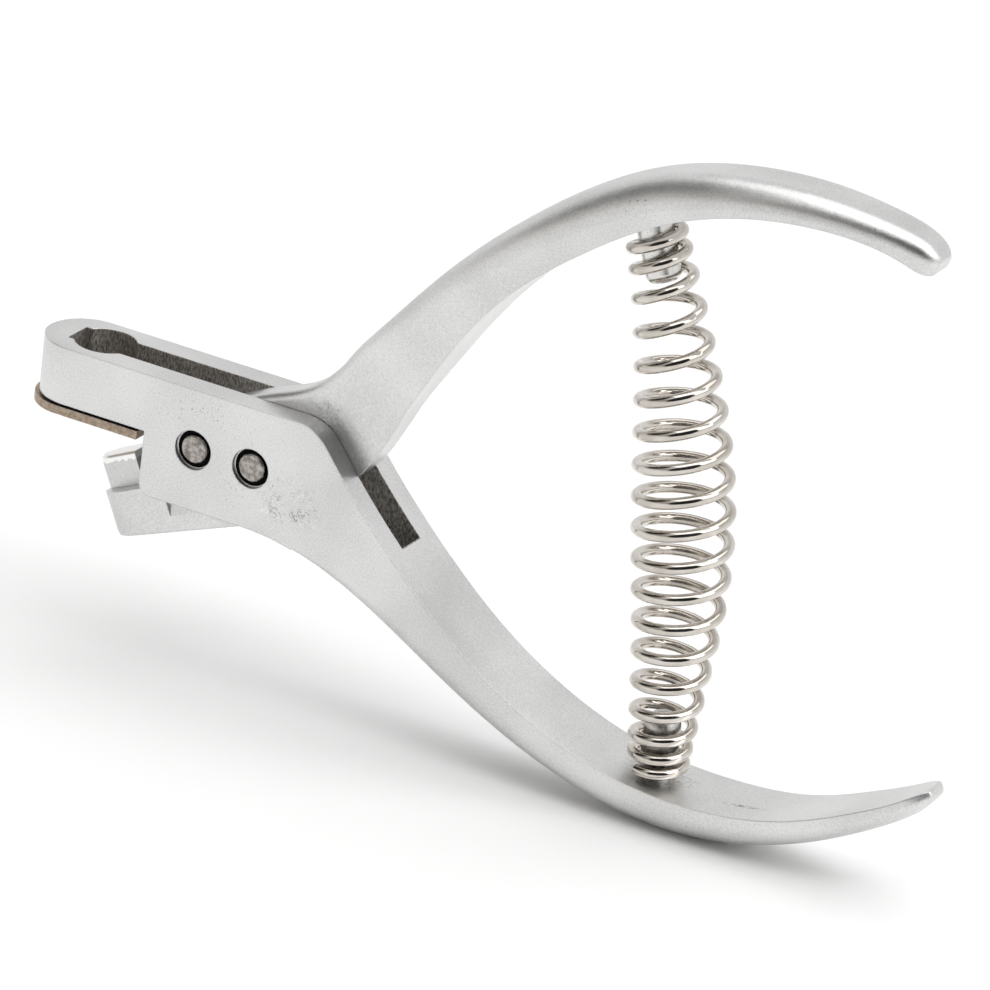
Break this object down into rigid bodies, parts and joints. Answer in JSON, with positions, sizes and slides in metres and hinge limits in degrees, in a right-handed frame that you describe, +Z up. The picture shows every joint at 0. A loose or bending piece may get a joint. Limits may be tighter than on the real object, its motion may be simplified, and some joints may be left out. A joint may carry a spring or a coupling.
{
  "type": "hand-held plier hole punch",
  "caption": "Plier-type hand punch: slotted nose with die plate, swinging jaw with punch, curved handles pushed apart by a barrel spring.",
  "frame": {"origin": "middle of the bounding box in X and Y, at the lowest point of the lower handle", "axes": "+X from the nose towards the handles, +Y along the pivot pin, +Z up from the lower handle to the upper one, handles open"},
  "size_m": [0.144, 0.0144, 0.0963],
  "materials": {
    "cast_nickel": "satin nickel-plated casting with fine grain",
    "punch_steel": "satin, ground bright at the cutting edge",
    "screw_steel": "plain steel",
    "die_steel": "rolled, tarnished brown",
    "blackened_steel": "blackened",
    "pin_steel": "mottled, cropped ends",
    "stud_steel": "bright plated, turned",
    "bright_nickel": "bright nickel-plated wire"
  },
  "bodies": {
    "frame": {"frame_casting": "cast_nickel", "die_plate": "die_steel", "die_spacer": "blackened_steel", "die_rivets": "screw_steel", "pivot_pin": "pin_steel", "limit_pin": "pin_steel", "lower_spring_stud": "stud_steel", "return_spring": "bright_nickel"},
    "lever": {"lever_casting": "cast_nickel", "punch": "punch_steel", "punch_screw": "screw_steel", "upper_spring_stud": "stud_steel"}
  },
  "joints": [
    {"name": "squeeze", "type": "hinge", "parent": "frame", "child": "lever", "pos_m": [-0.04327, 0, 0.03444], "axis": [0, 1, 0], "range_deg": [0, 26], "stiffness_Nm_per_rad": 7, "springref_deg": -4.7, "deforming": ["return_spring"]}
  ]
}
